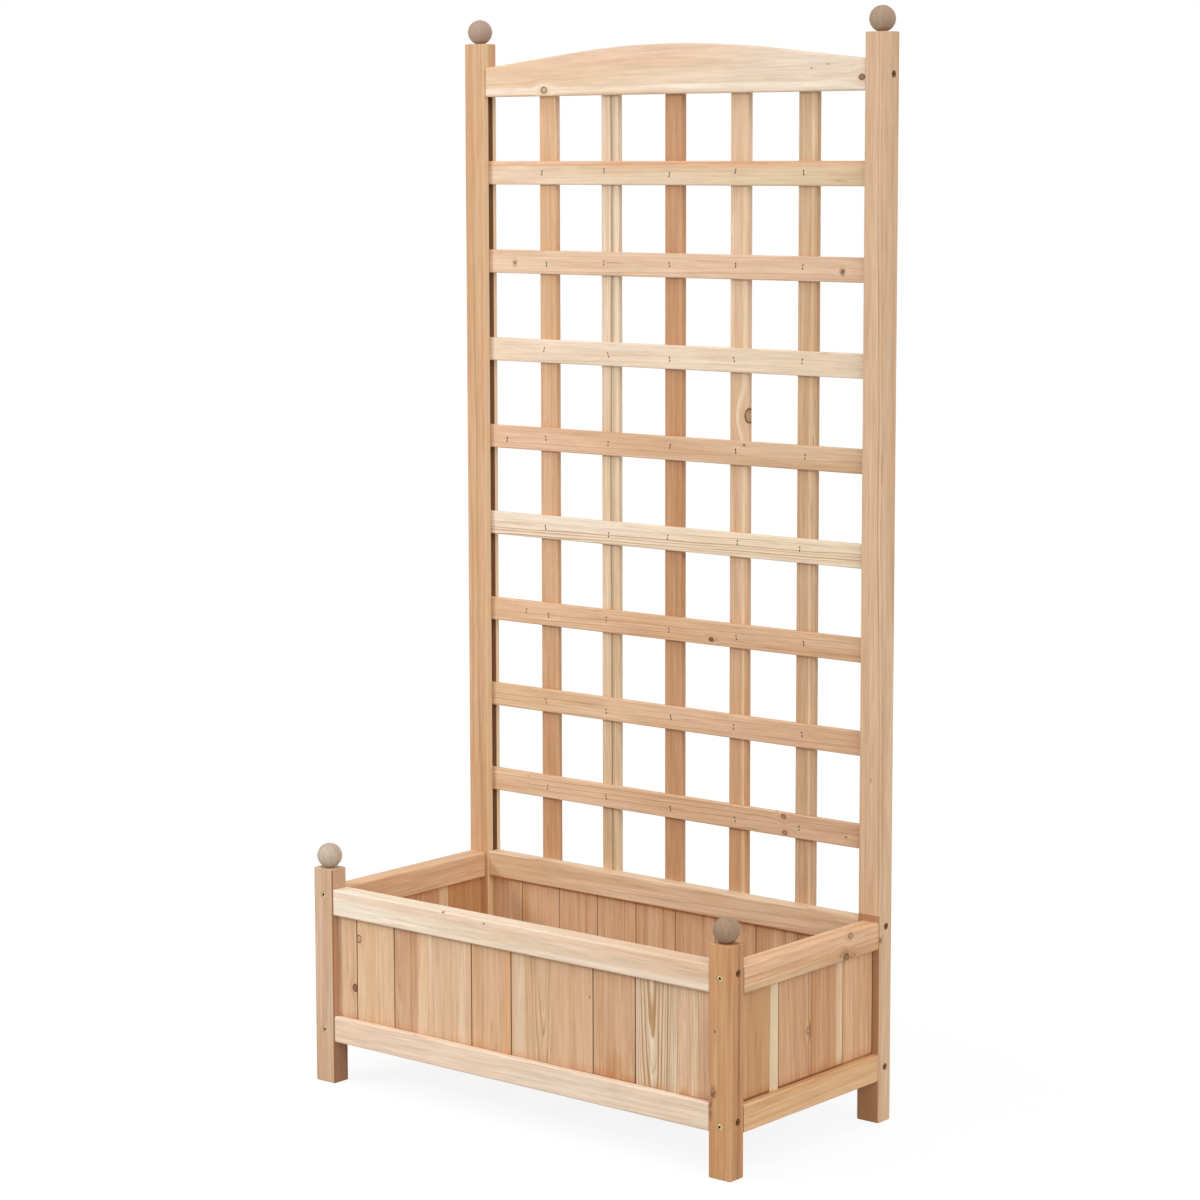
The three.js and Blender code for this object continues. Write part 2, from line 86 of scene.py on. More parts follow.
def camera_matrix():
    """The camera looks along its own -Z, with +X to the right of the picture and +Y up."""
    level, rise = math.cos(CAMERA_PITCH), math.sin(CAMERA_PITCH)
    sight = Vector((-math.sin(CAMERA_YAW) * level, math.cos(CAMERA_YAW) * level, rise))
    right = Vector((math.cos(CAMERA_YAW), math.sin(CAMERA_YAW), 0))
    up = right.cross(sight)
    turn = Matrix((right, up, -sight)).transposed() @ Matrix.Rotation(CAMERA_ROLL, 3, "Z")
    return Matrix.Translation(CAMERA_PLACE) @ turn.to_4x4()


lens = bpy.data.cameras.new("camera")
lens.lens = CAMERA_LENS
lens.sensor_width = SENSOR_WIDTH
lens.shift_y = CAMERA_SHIFT
lens.clip_end = FARTHEST_SEEN
camera = bpy.data.objects.new("camera", lens)
camera.matrix_world = camera_matrix()
bpy.context.scene.collection.objects.link(camera)
bpy.context.scene.camera = camera
print("camera at", tuple(round(v, 3) for v in CAMERA_PLACE), "lens", CAMERA_LENS)

# %% [markdown]
# ## Nodes in a few words
#
# A material is a small net of nodes. Clicking one together for every piece of wood would take
# days, so these short helpers add a node, plug in what it needs, and hand back its output.

# %% Helpers for nodes


def linear(shade):
    """A colour as a painter's chart writes it, six hex digits, made into Blender's linear colour."""
    parts = [int(shade[i : i + 2], 16) / 255 for i in (0, 2, 4)]
    return [p / 12.92 if p < 0.04045 else ((p + 0.055) / 1.055) ** 2.4 for p in parts] + [1]


def plug(tree, socket, value):
    """Links the output of a node to a socket, or sets the socket to a plain value."""
    if isinstance(value, bpy.types.NodeSocket):
        tree.links.new(value, socket)
    elif value is not None:
        socket.default_value = value


def node(tree, kind, plugs=None, **settings):
    """Adds a shader node and returns it, with its settings made and its inputs plugged."""
    made = tree.nodes.new("ShaderNode" + kind)
    for key, value in settings.items():
        setattr(made, key, value)
    for key, value in (plugs or {}).items():
        plug(tree, made.inputs[key], value)
    return made


def maths(tree, operation, first, second=None, third=None):
    return node(tree, "Math", {0: first, 1: second, 2: third}, operation=operation).outputs[0]


def vectors(tree, operation, first, second=None):
    made = node(tree, "VectorMath", {0: first, 1: second}, operation=operation)
    return made.outputs["Value" if operation == "LENGTH" else "Vector"]


def scaled(tree, vector, amount):
    return node(tree, "VectorMath", {0: vector, "Scale": amount}, operation="SCALE").outputs[0]


def mixed(tree, amount, under, over):
    """Lays one colour over another. The colour sockets of a Mix node come after its others."""
    made = node(tree, "Mix", {0: amount, 6: under, 7: over}, data_type="RGBA")
    return made.outputs[2]


def eased(tree, value, low, high, to_low=0.0, to_high=1.0):
    """Runs smoothly from to_low, where value is low, to to_high, where it is high."""
    plugs = {0: value, 1: low, 2: high, 3: to_low, 4: to_high}
    return node(tree, "MapRange", plugs, interpolation_type="SMOOTHSTEP").outputs[0]


def cloud(tree, place, scale, detail=2.0, roughness=0.5):
    plugs = {"Vector": place, "Scale": scale, "Detail": detail, "Roughness": roughness}
    return node(tree, "TexNoise", plugs)


def new_material(name):
    """A material with a Principled shader, and its tree and shader at hand."""
    material = bpy.data.materials.new(name)
    material.use_nodes = True
    shader = material.node_tree.nodes["Principled BSDF"]
    return material, material.node_tree, shader


print("a shade of fir in linear colour:", [round(v, 3) for v in linear("d3b190")])

# %% [markdown]
# ## Floor, backdrop and light
#
# A catalogue picture stands on white. We could turn the lamps up until the floor burns out, but
# that would burn the pale wood too. Instead the floor and the world show white to the camera
# alone, and the floor keeps a share of its real shading, so that the shadow stays. The light is
# a soft key from the front left, a broader fill from the right, a pale sky, and a low lamp
# behind, which the front view hardly shows but the back of the trellis needs.

# %% Floor and world
WHITE = (1, 1, 1, 1)
SKY_TINT = (1, 0.99, 0.975, 1)
SKY_LEVEL = 0.33
FLOOR_SIZE = 24
FLOOR_GLOW = 1.02
FLOOR_PAPER = (0.5, 0.5, 0.5, 1)  # what the floor reflects on the wood
FLOOR_LIT = (0.93, 0.93, 0.93, 1)  # what the camera sees of its shading
SHADOW_SHARE = 0.13
SHADOW_REACH = (0.45, 1.1)  # metres from the origin, between which that share fades away


def seen_directly(tree):
    """1 for what the camera sees itself, also in a mirror or through glass."""
    path = node(tree, "LightPath").outputs
    mirrored = maths(tree, "MAXIMUM", path["Is Glossy Ray"], path["Is Transmission Ray"])
    return maths(tree, "MAXIMUM", path["Is Camera Ray"], mirrored)


def white_floor():
    """White to the camera, with a share of real shading near the object; grey to the wood."""
    material = bpy.data.materials.new("studio_floor")
    material.use_nodes = True
    tree = material.node_tree
    tree.nodes.clear()
    paper = node(tree, "BsdfDiffuse", {"Color": FLOOR_PAPER})
    lit = node(tree, "BsdfDiffuse", {"Color": FLOOR_LIT})
    glow = node(tree, "Emission", {"Color": WHITE, "Strength": FLOOR_GLOW})
    place = node(tree, "TexCoord").outputs["Object"]
    share = eased(tree, vectors(tree, "LENGTH", place), *SHADOW_REACH, SHADOW_SHARE, 0)
    shown = node(tree, "MixShader", {0: share, 1: glow.outputs[0], 2: lit.outputs[0]})
    both = node(tree, "MixShader", {0: seen_directly(tree), 1: paper.outputs[0], 2: shown.outputs[0]})
    node(tree, "OutputMaterial", {"Surface": both.outputs[0]})
    return material


bpy.ops.object.select_all(action="DESELECT")
bpy.ops.mesh.primitive_plane_add(size=FLOOR_SIZE)
floor = bpy.context.object
floor.name = "studio_floor"
floor.data.materials.append(white_floor())
floor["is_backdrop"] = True

world = bpy.data.worlds.new("studio")
world.use_nodes = True
sky = world.node_tree
sky.nodes.clear()
light = node(sky, "Background", {"Color": SKY_TINT, "Strength": SKY_LEVEL})
white = node(sky, "Background", {"Color": WHITE, "Strength": 1.0})
either = node(sky, "MixShader", {0: seen_directly(sky), 1: light.outputs[0], 2: white.outputs[0]})
node(sky, "OutputWorld", {"Surface": either.outputs[0]})
bpy.context.scene.world = world
bpy.context.scene.view_settings.view_transform = "Standard"
print("floor:", floor.name, "sky level:", SKY_LEVEL)

# %% Lamps
KEY_PLACE = Vector((-1.5, -1.9, 1.5))
KEY_AIM = Vector((0, 0, 0.6))
KEY_SIZE = 0.6
KEY_POWER = 27
SUNS = {  # degrees to the right of the front, degrees up, level, and softness in degrees
    "fill": (60, 25, 1.57, 50),
    "top": (5, 78, 1.05, 60),
    "back": (172, 12, 1.0, 50),
}


def studio_lamp(name, kind, power, back):
    """A lamp that shines against the direction back, which leads from the object to it."""
    lamp = bpy.data.lights.new(name, kind)
    lamp.energy = power
    holder = bpy.data.objects.new(name, lamp)
    holder.rotation_euler = back.to_track_quat("Z", "Y").to_euler()
    bpy.context.scene.collection.objects.link(holder)
    return holder


key = studio_lamp("key", "AREA", KEY_POWER, KEY_PLACE - KEY_AIM)
key.location = KEY_PLACE
key.data.size = KEY_SIZE
for lamp_name, (azimuth, height, level, softness) in SUNS.items():
    a, h = math.radians(azimuth), math.radians(height)
    back = Vector((math.sin(a) * math.cos(h), -math.cos(a) * math.cos(h), math.sin(h)))
    studio_lamp(lamp_name, "SUN", level, back).data.angle = math.radians(softness)
print("lamps: key", *sorted(SUNS))

# %% [markdown]
# ## How a tree draws the grain
#
# A tree grows one ring a year round its pith: soft pale wood in spring, a thin dark line in
# autumn. A board is a slice through those rings, so the honest way to draw it is in 3-D: rings
# round a line beside the board. Where the line is far off, the slice shows straight stripes,
# and where it is close behind the face and leans, it shows the tall arches of a flat-sawn board.
# The pattern is squeezed along the grain, which draws every cloud out into a streak.

# %% Grain space
SQUEEZE = 0.06
DRIFTS = (22, 130)  # clouds to the metre that push the rings aside, broad ones and small ones
SMALL_DRIFT = 1.6  # how far the small ones push, in millimetres
BEAT_SCALE = 130  # how often the years change from wide to narrow
BEAT_YEARS = 2.6
GRAIN_TURNS = {  # for each way of the grain: the squeeze, and the turn that lays the grain along X
    "X": ((SQUEEZE, 1, 1), (0, 0, 0)),
    "Y": ((1, SQUEEZE, 1), (0, 0, -math.pi / 2)),
    "Z": ((1, 1, SQUEEZE), (0, math.pi / 2, 0)),
}


def grain_space(tree, place, name, grain):
    """Coordinates round the middle of a piece, with the grain along X and squeezed."""
    squeeze, turn = GRAIN_TURNS[grain]
    lo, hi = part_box(name)
    middle = Vector([s * (a + b) / 2 for s, a, b in zip(squeeze, lo, hi)])
    middle.rotate(Euler(turn))
    plugs = {"Vector": place, "Location": -middle, "Rotation": turn, "Scale": squeeze}
    return node(tree, "Mapping", plugs).outputs[0]


def pith_place(tree, local, pith, lean, name, across_is_y):
    """Moves the middle of the rings off the piece, aside and behind it, and leans it."""
    start = random.Random(name).random()
    aside, behind = (p * MM for p in pith)
    offset = (start, aside, behind) if across_is_y else (start, -behind, aside)
    turn = (0, lean[0], lean[1])
    return node(tree, "Mapping", {"Vector": local, "Location": offset, "Rotation": turn}).outputs[0]


def autumn_lines(tree, trunk, ring, wander, fade):
    """The dark line of each year, 0 to 1. The years differ in width and in strength.
    With fade, a pair of radii, the lines grow weak from the first to the second."""
    wandered = trunk
    for scale, reach in zip(DRIFTS, (wander, SMALL_DRIFT)):
        drift = vectors(tree, "SUBTRACT", cloud(tree, trunk, scale, 2).outputs["Color"], (0.5,) * 3)
        push = vectors(tree, "MULTIPLY", drift, (0, 2 * reach * MM, 2 * reach * MM))
        wandered = vectors(tree, "ADD", wandered, push)
    radius = vectors(tree, "LENGTH", vectors(tree, "MULTIPLY", wandered, (0, 1, 1)))
    beat = node(tree, "TexNoise", {"W": radius, "Scale": BEAT_SCALE, "Detail": 1}, noise_dimensions="1D")
    beat = maths(tree, "MULTIPLY", beat.outputs[0], BEAT_YEARS)
    years = maths(tree, "MULTIPLY_ADD", radius, 1 / (ring * MM), beat)

    # From spring to autumn the line darkens slowly, and then it ends at once.
    season = maths(tree, "FRACT", years)
    line = maths(tree, "POWER", season, 3.0)
    line = maths(tree, "MULTIPLY", line, eased(tree, season, 0.9, 1.0, 1, 0))
    year = maths(tree, "FLOOR", years)
    dry = node(tree, "TexWhiteNoise", {"W": year}, noise_dimensions="1D").outputs["Value"]
    presence = eased(tree, cloud(tree, trunk, 34, 2).outputs[0], 0.3, 0.7, 0.45, 1.25)
    strength = maths(tree, "MULTIPLY", presence, maths(tree, "MULTIPLY_ADD", dry, 1.1, 0.35))
    if fade:
        near, far = fade
        weaker = eased(tree, radius, near * MM, far * MM, 1, 0.25)
        strength = maths(tree, "MULTIPLY", strength, weaker)
    return maths(tree, "MULTIPLY", line, strength)


print("grain can run along:", *GRAIN_TURNS)

# %% [markdown]
# ## Knots and smudges
#
# A knot is the foot of a branch. It runs through the board, dark at its rim, and the rings flow
# round it. So each knot gives two things: a mask for its own colour, and a push that bends the
# grain near it. It is placed by its real position, with None along the branch.

# %% Knots and smudges
KNOT_LENGTH = 1.25  # along the grain, for a width of 1
KNOT_PUSH = -0.88
KNOT_HALO = 0.6
HEART_DARK, HEART_PALE = "7a4729", "d9ad84"
KNOT_RINGS, KNOT_RIM = "6b4027", "4c2d19"


def away_from(tree, place, spot, radii):
    """The offset from a spot, and the distance from it in radii, wobbled a little."""
    centre = [(c or 0) * MM for c in spot]
    scale = [0 if c is None else 1 / (r * MM) for c, r in zip(spot, radii)]
    offset = vectors(tree, "SUBTRACT", place, centre)
    wobble = maths(tree, "MULTIPLY_ADD", cloud(tree, place, 420, 1).outputs[0], 0.5, -0.25)
    distance = vectors(tree, "LENGTH", vectors(tree, "MULTIPLY", offset, scale))
    return offset, maths(tree, "ADD", distance, wobble)


def spot_radii(grain, across, along):
    """A spot's radius along X, Y and Z."""
    return [along if axis == grain else across for axis in "XYZ"]


def bend_round_knots(tree, place, knots, grain):
    """Pushes the grain aside at each knot. Returns the new place and the knots' distances."""
    distances = []
    for x, y, z, radius, pale in knots:
        radii = spot_radii(grain, radius, radius * KNOT_LENGTH)
        offset, distance = away_from(tree, place, (x, y, z), radii)
        reach = eased(tree, distance, 0.8, 5.5, KNOT_PUSH, 0)
        aside = [0 if axis == grain or c is None else 1 for axis, c in zip("XYZ", (x, y, z))]
        push = scaled(tree, vectors(tree, "MULTIPLY", offset, aside), reach)
        place = vectors(tree, "ADD", place, push)
        distances.append((distance, pale))
    return place, distances


def knot_colour(tree, distance, pale, colour, shadow):
    """Paints one knot: a halo in the wood, a dark rim, and rings round a heart, pale or dark."""
    colour = mixed(tree, eased(tree, distance, 0.9, 3.2, KNOT_HALO, 0), colour, shadow)
    wave = maths(tree, "SINE", maths(tree, "MULTIPLY", distance, 15))
    rings = maths(tree, "MULTIPLY_ADD", wave, 0.25, 0.3)
    heart = mixed(tree, pale, linear(HEART_DARK), linear(HEART_PALE))
    heart = mixed(tree, rings, heart, linear(KNOT_RINGS))
    heart = mixed(tree, eased(tree, distance, 0.68, 0.95), heart, linear(KNOT_RIM))
    return mixed(tree, eased(tree, distance, 1.0, 1.25, 0.92, 0), colour, heart)


print("knots are painted by their distance in radii")

# %% [markdown]
# ## The colour chart
#
# All pieces are the same kind of fir, but no two are alike, so each has a shade of its own in
# one chart. Where sap changes the wood along its length, or the studio light falls off along it,
# it has one for each end; that change is partly painted light.

# %% The colour chart
# two shades give the two ends of a piece; the change between them is partly painted light: the uprights
# paler at the top, the cross slats mostly paler at the left
SHADES = {
    "post_front_left": "cbab8e",
    "post_front_right": "c28f62",
    "post_rear_left": "cba077",
    "post_rear_right": "d4b18e",
    "finial_front_left": "b4a390",
    "finial_front_right": "9a7e65",
    "finial_rear_left": "a88d7b",
    "finial_rear_right": "a58c75",
    "front_top_rail": "e6d5be ddbfa1",
    "front_bottom_rail": "e4cab1 e4ccb3",
    "right_top_rail": "ddb38d",
    "right_bottom_rail": "d8ac7e",
    "front_board_1": "d4b18d",
    "front_board_2": "d8b48e",
    "front_board_3": "caa17d",
    "front_board_4": "d5b18d",
    "front_board_5": "d4ab85",
    "front_board_6": "d1ad88",
    "front_board_7": "d2ab86",
    "front_board_8": "cea681",
    "front_board_9": "d9be9f",
    "front_board_10": "dab695",
    "right_board_1": "c39466",
    "right_board_2": "dfc59f",
    "right_board_3": "cea078",
    "right_board_4": "c8976e",
    "right_board_5": "d9ae87",
    "arch_rail": "ddbd9b e3cdb5",
    "cross_slat_1": "dbb895 d2ad8c",
    "cross_slat_2": "d8b690 d8b393",
    "cross_slat_3": "dab491 d1ab86",
    "cross_slat_4": "e8d4bd e4ceaf",
    "cross_slat_5": "d8b190 ceac89",
    "cross_slat_6": "e4ceb5 dfc7aa",
    "cross_slat_7": "ddbd9e dab697",
    "cross_slat_8": "e0c5a9 d5ba95",
    "upright_slat_1": "c49770 d9b28c",
    "upright_slat_2": "d5ba98 e1c8ac",
    "upright_slat_3": "c1956e c39269",
    "upright_slat_4": "c5986e e0c3a5",
    "upright_slat_5": "c5a27e cba983",
    "back_top_rail": "d9bb9a",
    "back_bottom_rail": "d6b795",
    "left_top_rail": "dab592",
    "left_bottom_rail": "d8b18c",
    "back_panel": "d4ae89",
    "floor_boards": "cfa87f",
    "floor_cleats": "cca47d",
}


def ground_colour(tree, parts, name, shades, grain):
    """One colour, or a slow change from one end of the piece to the other, partly painted light."""
    first, last = (shades.split() * 2)[:2]
    axis = "XYZ".index(grain)
    lo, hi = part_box(name)
    return mixed(tree, eased(tree, parts[axis], lo[axis], hi[axis]), linear(first), linear(last))


print("shades in the chart:", len(SHADES))

# %% [markdown]
# ## One recipe for every piece
#
# One function makes the material, and a short note for each piece says how wide its rings are,
# how strong its lines are, and where the pith was. The colour is built up as it is in the wood:
# ground, broad streaks, autumn lines, fine fibres, knots, the grime of the workshop, and at last
# patches, most of them painted shade in joints, holes and faces turned from the light.

# %% Streaks, stripes and stains
PALE_TINT = (1.07, 1.11, 1.17)  # each multiplies a piece's own ground
WARM_TINT = (0.92, 0.83, 0.72)
LATE_TINT = (0.64, 0.48, 0.33)
SWING = 14 * MM  # how far a stripe may swing from side to side
GRIME = "5e3c22"
FOOT_STAIN, FOOT_LINE = "b3703f", "6e4020"
STAIN_RISE = (0.080, 0.094)  # heights between which the stain of a board's foot fades away
LINE_RISE = (0.0812, 0.0829)  # the same for the thin line along the rail
PATCH_EDGE = 0.2 * MM


def streaked(tree, trunk, ground, line, streaks, lines):
    """Broad streaks from pale to warm, and the autumn lines over them."""
    pale, warm, late = (vectors(tree, "MULTIPLY", ground, t) for t in (PALE_TINT, WARM_TINT, LATE_TINT))
    streak = eased(tree, cloud(tree, trunk, 62, 4, 0.62).outputs[0], 0.37, 0.64)
    colour = mixed(tree, maths(tree, "MULTIPLY", streak, streaks), pale, warm)
    return mixed(tree, maths(tree, "MULTIPLY", line, lines), colour, late), warm, late


def own_stripes(tree, bent, local, colour, stripes):
    """Dark or pale stripes that belong to one piece alone, swinging a little."""
    parts = node(tree, "SeparateXYZ", {0: bent}).outputs
    swing = maths(tree, "MULTIPLY_ADD", cloud(tree, local, 26, 2).outputs[0], SWING, -SWING / 2)
    for axis, middle, half, shade, strength in stripes:
        across = maths(tree, "ADD", parts["XYZ".index(axis)], swing)
        across = maths(tree, "ABSOLUTE", maths(tree, "SUBTRACT", across, middle * MM))
        edge = eased(tree, across, half * MM * 0.45, half * MM * 1.25, strength, 0)
        colour = mixed(tree, edge, colour, linear(shade))
    return colour


def washed(tree, place, grain, colour, washes):
    """Soft clouds of another shade, drawn out along the grain."""
    for x, y, z, across, along, shade, strength in washes:
        distance = away_from(tree, place, (x, y, z), spot_radii(grain, across, along))[1]
        colour = mixed(tree, eased(tree, distance, 0.4, 1.2, strength, 0), colour, linear(shade))
    return colour


def grimy(tree, place, trunk, height, grain, colour, smudges, foot):
    """Smudges where they were seen, and the stained foot of a board."""
    grime = eased(tree, cloud(tree, place, 190, 3, 0.7).outputs[0], 0.3, 0.62)
    for x, y, z, across, along, strength in smudges:
        distance = away_from(tree, place, (x, y, z), spot_radii(grain, across, along))[1]
        dirt = maths(tree, "MULTIPLY", eased(tree, distance, 0.5, 1.5, strength, 0), grime)
        colour = mixed(tree, dirt, colour, linear(GRIME))
    if foot:
        soaked = eased(tree, cloud(tree, trunk, 90, 2, 0.6).outputs[0], 0.3, 0.62, 0.25, 1)
        rise = eased(tree, height, *STAIN_RISE, foot * 0.75, 0)
        colour = mixed(tree, maths(tree, "MULTIPLY", rise, soaked), colour, linear(FOOT_STAIN))
        colour = mixed(tree, eased(tree, height, *LINE_RISE, foot, 0), colour, linear(FOOT_LINE))
    return colour


def patched(tree, parts, colour, patches):
    """Parts of a piece in a shade of their own, each in a box: a (low, high) pair for each
    axis, or None where the box has no end. Most are painted shade: in a joint, in the wall of a hole, on
    a face turned from the light; a few are pale lips or painted light."""
    for reach, shade, strength in patches:
        inside = strength
        for part, pair in zip(parts, reach):
            if pair:
                off = maths(tree, "ABSOLUTE", maths(tree, "SUBTRACT", part, sum(pair) / 2 * MM))
                half = (pair[1] - pair[0]) / 2 * MM
                within = eased(tree, off, half - PATCH_EDGE, half + PATCH_EDGE, 1, 0)
                inside = maths(tree, "MULTIPLY", inside, within)
        colour = mixed(tree, inside, colour, linear(shade))
    return colour


print("tints of the streaks:", PALE_TINT, WARM_TINT, LATE_TINT)

# %% The wood
FIBRE_SCALE = 310
FLECK_SCALE = 240
PLANED = 0.15 * MM  # how high the fibres stand on a planed face
WOOD_SPECULAR = 0.35


def wood(name, shades, grain, pith=(60, 40), lean=(0.1, 0.2), ring=3.8, lines=0.6, fade=None,
         streaks=0.75, wander=5.0, face="front", knots=(), washes=(), smudges=(), foot=0.0,
         stripes=(), patches=(), gloss=0.56):
    """The material of one piece. Sizes are in millimetres; pith is its offset (aside, behind)."""
    material, tree, shader = new_material("wood_" + name)
    place = node(tree, "TexCoord").outputs["Object"]
    parts = node(tree, "SeparateXYZ", {0: place}).outputs
    bent, distances = bend_round_knots(tree, place, knots, grain)
    local = grain_space(tree, bent, name, grain)
    trunk = pith_place(tree, local, pith, lean, name, grain == "Z" and face == "side")
    line = autumn_lines(tree, trunk, ring, wander, fade)

    ground = ground_colour(tree, parts, name, shades, grain)
    ground = own_stripes(tree, bent, local, ground, stripes)
    ground = washed(tree, place, grain, ground, washes)
    colour, warm, late = streaked(tree, trunk, ground, line, streaks, lines)
    fibre = cloud(tree, trunk, FIBRE_SCALE, 4, 0.7).outputs[0]
    colour = scaled(tree, colour, maths(tree, "MULTIPLY_ADD", fibre, 0.62, 0.69))
    fleck = eased(tree, cloud(tree, trunk, FLECK_SCALE, 1).outputs[0], 0.735, 0.80, 0, 0.55)
    colour = mixed(tree, fleck, colour, late)
    for distance, pale in distances:
        colour = knot_colour(tree, distance, pale, colour, warm)
    colour = grimy(tree, place, trunk, parts["Z"], grain, colour, smudges, foot)
    # patches, most of them painted shade
    colour = patched(tree, parts, colour, patches)

    # The planed surface: the fibres stand up and the autumn lines lie a little lower.
    height = maths(tree, "MULTIPLY_ADD", line, -0.5, maths(tree, "MULTIPLY", fibre, 0.6))
    bump = node(tree, "Bump", {"Height": height, "Strength": 0.4, "Distance": PLANED})
    plug(tree, shader.inputs["Base Color"], colour)
    plug(tree, shader.inputs["Roughness"], maths(tree, "MULTIPLY_ADD", fibre, 0.16, gloss - 0.04))
    plug(tree, shader.inputs["Normal"], bump.outputs[0])
    shader.inputs["Specular IOR Level"].default_value = WOOD_SPECULAR
    return material


DRESSED = []


def dress(name, grain, shade_name=None, **notes):
    """Gives a CAD node its own wood. The shade comes from the chart."""
    mesh = WOOD[name].data
    mesh.materials.clear()
    mesh.materials.append(wood(name, SHADES[shade_name or name], grain, **notes))
    DRESSED.append(name)


print("the wood is ready to be laid on", len(WOOD), "pieces")

# %% [markdown]
# ## Where the screws go
#
# The screws themselves come later, but the wood must know them now, because the countersunk
# holes in the posts are painted darker inside than the faces round them: raw end grain, and painted
# shade for the shadow in them.

# %% Seats of the screws
POST_X = 0.295  # in metres, like the other places of the screws
FRONT_FACE = -0.150
REAR_FACE = 0.150
SIDE_FACE = 0.310
SIDE_SCREW_Y = (-0.137, 0.1385)
SCREW_ROWS = (0.061, 0.224)
SCREW_STEP = 0.00275
ARCH_SCREW = (0.139, 1.17875)
HOLE_HALF = 4.3  # half the width of the shaded square round a screw, in millimetres
HOLE_DEPTHS = (0.15, 6)
# painted shade on the walls of the holes: strong in the deep side holes, lighter in the shallow front
# ones
DEEP_HOLE_SHADE = ("5c3013", 0.85)
SHALLOW_HOLE_SHADE = ("7a4a26", 0.5)


def screw_seats():
    """Every screw's point on the face of the wood, and the way its head looks."""
    for side in (-1, 1):
        raised = side * SCREW_STEP
        for z in SCREW_ROWS:
            yield Vector((side * POST_X, FRONT_FACE, z - raised)), Vector((0, -1, 0))
            yield Vector((side * POST_X, REAR_FACE, z - raised)), Vector((0, 1, 0))
            for y in SIDE_SCREW_Y:
                yield Vector((side * SIDE_FACE, y, z + raised)), Vector((side, 0, 0))
        yield Vector((side * SIDE_FACE, *ARCH_SCREW)), Vector((side, 0, 0))


def hole_painted_shade(name):
    """Patches of painted shade for the walls of the holes in one post."""
    lo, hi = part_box(name)
    for seat, outward in screw_seats():
        if all(a - MM < s < b + MM for a, s, b in zip(lo, seat, hi)):
            reach = []
            for s, out in zip(seat / MM, outward):
                walls = (s - HOLE_HALF, s + HOLE_HALF)
                reach.append(tuple(sorted(s - d * out for d in HOLE_DEPTHS)) if out else walls)
            yield (reach, *(DEEP_HOLE_SHADE if outward.x else SHALLOW_HOLE_SHADE))


print("screw seats:", len(list(screw_seats())))

# %% [markdown]
# ## Posts
#
# The posts stand upright, so their grain runs along Z. They were sawn from different planks: the
# one at the front right is a warmer tan than the others, with a few dark smudges. The pith lies
# far off, so the stripes are straight and close. The grooves in the rear posts, and the faces
# that look away from the light, get patches of painted shade, a little redder than the planed
# fronts.

# %% Posts
GROOVE_RISE = (80, 1180)  # like all places in a patch, in millimetres
INNER_FACE = (-280.6, -279.4)  # of the left front post
NEAR_FACE = (125, 126.6)  # of the right rear post


def groove_painted_shade(side):
    """The long groove in a rear post: painted shade, brown inside with a dark near edge, and a pale far
    lip.
    """
    wall = sorted((side * 280.2, side * 287.2))
    inner = sorted((side * 279.4, side * 281.0))
    return [
        ((wall, (134.8, 143.2), GROOVE_RISE), "7d4f2c", 0.75),
        ((wall, (134.8, 136.4), GROOVE_RISE), "4a2b15", 0.7),
        ((inner, (143.4, 151), GROOVE_RISE), "ecd3ae", 0.7),
    ]


POSTS = {
    "post_front_left": dict(
        pith=(70, 30), lines=0.45, ring=5, smudges=[(-279.6, -128, 216.4, 1.2, 5, 0.6)],
        # painted shade, partly darker wood, on the inner face that looks away from the light: the leg
        # under the box, beside the boards, above the rail, and the front corner
        patches=[((INNER_FACE, None, (-1, 51)), "8a5433", 0.75),
                 ((INNER_FACE, None, (81, 204)), "a06f48", 0.65),
                 ((INNER_FACE, None, (233, 260)), "b08660", 0.4),
                 (((-281.4, -279.4), (-151, -148.2), None), "8a5632", 0.7)]),
    "post_front_right": dict(
        pith=(45, 55), streaks=0.9, lines=0.8, ring=5, knots=[(288.8, None, 162.3, 1.1, 0.1)],
        stripes=[("Y", -134, 2.4, "9c7257", 0.55), ("Y", -147, 2, "d8ad80", 0.5)],
        smudges=[(287, None, 95, 4, 7, 0.9), (283, None, 76, 2.5, 12, 0.8)]),
    "post_rear_left": dict(
        pith=(30, 50), lines=0.6, ring=5.5,
        patches=groove_painted_shade(-1) + [(((-281.2, -279.4), (125, 135), None), "e2c49c", 0.7)]),
    "post_rear_right": dict(
        pith=(90, 40), lines=0.7, streaks=0.6, ring=5, knots=[(None, 128.0, 212.2, 2.2, 0.4)],
        smudges=[(296.2, None, 393.5, 1.2, 3, 0.7)],
        # painted shade, partly redder wood, on the front face that looks away from the light: the leg
        # under the box and the face beside the wall
        patches=groove_painted_shade(1) + [((None, NEAR_FACE, (-1, 51)), "a66f45", 0.75),
                                    ((None, NEAR_FACE, (80, 240)), "9c6b44", 0.75)]),
}
for post_name, notes in POSTS.items():
    notes["patches"] = list(notes.get("patches", [])) + list(hole_painted_shade(post_name))
    dress(post_name, "Z", lean=(0.05, 0.08), **notes)
print("posts dressed:", len(POSTS))

# %% [markdown]
# ## Turned balls
#
# The balls are turned from another, greyer wood with hardly any figure. They keep the upright
# grain of the dowel that they were cut from, and their finish is dull.

# %% Balls
for corner in ("front_left", "front_right", "rear_left", "rear_right"):
    dress("finial_" + corner, "Z", pith=(9, 14), lean=(0.2, 0.1), ring=1.9, lines=0.3,
          streaks=0.4, wander=1.5, gloss=0.62)
print("balls dressed: 4")

# %% [markdown]
# ## Rails
#
# The rails lie down, so their grain runs along them: along X at the front and the back, along Y
# at the sides. The front ones are the palest wood of the box, almost cream along the lower edge.
# At the front ends of the side rails, a thin line of painted shadow shows where they meet the posts, as
# if a gap were open there.

# %% Rails


# a dark line of painted shadow, standing for a gap between the side rail's end and the post
def rail_end_shadow(low, high):
    return ((300, 312), (-126.2, -124.9), (low, high)), "6b4528", 0.85


